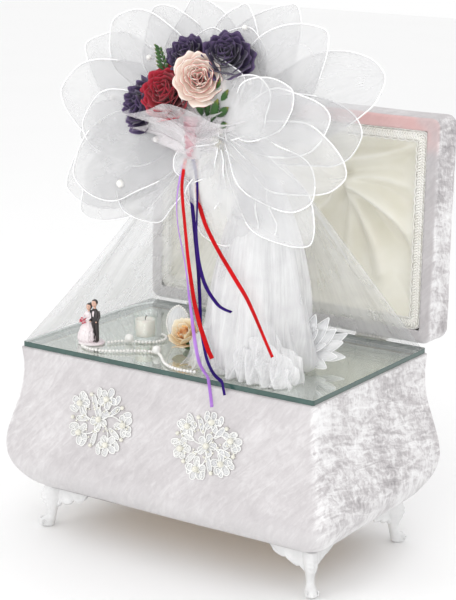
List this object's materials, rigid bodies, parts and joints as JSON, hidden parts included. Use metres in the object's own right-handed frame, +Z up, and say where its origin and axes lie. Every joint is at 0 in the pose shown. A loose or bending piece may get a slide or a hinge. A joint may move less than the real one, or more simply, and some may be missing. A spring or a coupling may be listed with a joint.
{
  "type": "wedding card box",
  "caption": "Bombe velvet chest on cabriole feet with a glass top, a hinged satin-lined lid standing open, and a tulle, organza and silk flower spray on the glass.",
  "frame": {"origin": "bottom centre of the whole box's bounding box with the lid open, on the surface it stands on", "axes": "+Z up, the front with the lace appliques faces -Y, +X to the right seen from the front"},
  "size_m": [0.428, 0.3346, 0.6099],
  "materials": {
    "velvet": "crushed pile",
    "board": "bare",
    "satin": "satin",
    "plate_glass": "polished",
    "candle_glass": "polished",
    "foot_white": "matte cast",
    "lace": "corded lace",
    "hinge_steel": "brushed",
    "braid": "gimp braid",
    "wrapped_wire": "taped",
    "tulle": "net",
    "organza": "sheer",
    "silk_red": "silk",
    "silk_cream": "silk",
    "silk_rose": "silk",
    "silk_purple": "silk",
    "leaf_green": "printed cloth",
    "handle_net": "net",
    "ribbon_lilac": "satin",
    "ribbon_red": "satin",
    "ribbon_violet": "satin",
    "pearl": "pearl",
    "figure_white": "painted",
    "figure_black": "painted",
    "wax": "wax"
  },
  "bodies": {
    "root": {"velvet_cover": "velvet", "front_panel": "board", "back_panel": "board", "left_panel": "board", "right_panel": "board", "floor_board": "board", "chest_lining": "satin", "glass_top": "plate_glass", "foot_front_right": "foot_white", "foot_back_right": "foot_white", "foot_back_left": "foot_white", "foot_front_left": "foot_white", "applique_left": "lace", "applique_right": "lace", "hinge_leaf_body_left": "hinge_steel", "hinge_leaf_body_right": "hinge_steel", "hinge_pin_left": "hinge_steel", "hinge_pin_right": "hinge_steel", "couple_stand": "figure_white", "bride": "figure_white", "groom": "figure_black", "candle_glass": "candle_glass", "candle": "wax", "rose": "silk_rose", "spray_armature": "wrapped_wire", "tulle_column": "tulle", "lace_spray": "lace", "veil": "tulle", "petals_back": "organza", "petals_left": "organza", "petals_right": "organza", "flower_red": "silk_red", "flower_cream": "silk_cream", "flower_purple_left": "silk_purple", "flower_purple_top": "silk_purple", "flower_purple_right": "silk_purple", "leaf_right": "leaf_green", "fern_left": "leaf_green", "bouquet_handle": "handle_net", "ribbon_lilac": "ribbon_lilac", "ribbon_red": "ribbon_red", "ribbon_violet_long": "ribbon_violet", "ribbon_violet_short": "ribbon_violet", "ribbon_red_long": "ribbon_red", "pearl_strand_back": "pearl", "pearl_strand_front": "pearl"},
    "lid": {"lid_velvet_cover": "velvet", "lid_front_wall": "board", "lid_back_wall": "board", "lid_left_wall": "board", "lid_right_wall": "board", "lid_top_panel": "board", "lid_lining": "satin", "lid_braid": "braid", "hinge_leaf_lid_left": "hinge_steel", "hinge_leaf_lid_right": "hinge_steel"}
  },
  "joints": [
    {"name": "lid_hinge", "type": "hinge", "parent": "root", "child": "lid", "pos_m": [0, 0.10154, 0.2263], "axis": [1, 0, 0], "range_deg": [0, 90], "deforming": ["spray_armature", "tulle_column", "lace_spray", "veil", "petals_back", "petals_left", "petals_right", "flower_red", "flower_cream", "flower_purple_left", "flower_purple_top", "flower_purple_right", "leaf_right", "fern_left", "bouquet_handle", "ribbon_lilac", "ribbon_red", "ribbon_violet_long", "ribbon_violet_short", "ribbon_red_long", "pearl_strand_back", "pearl_strand_front"]}
  ]
}
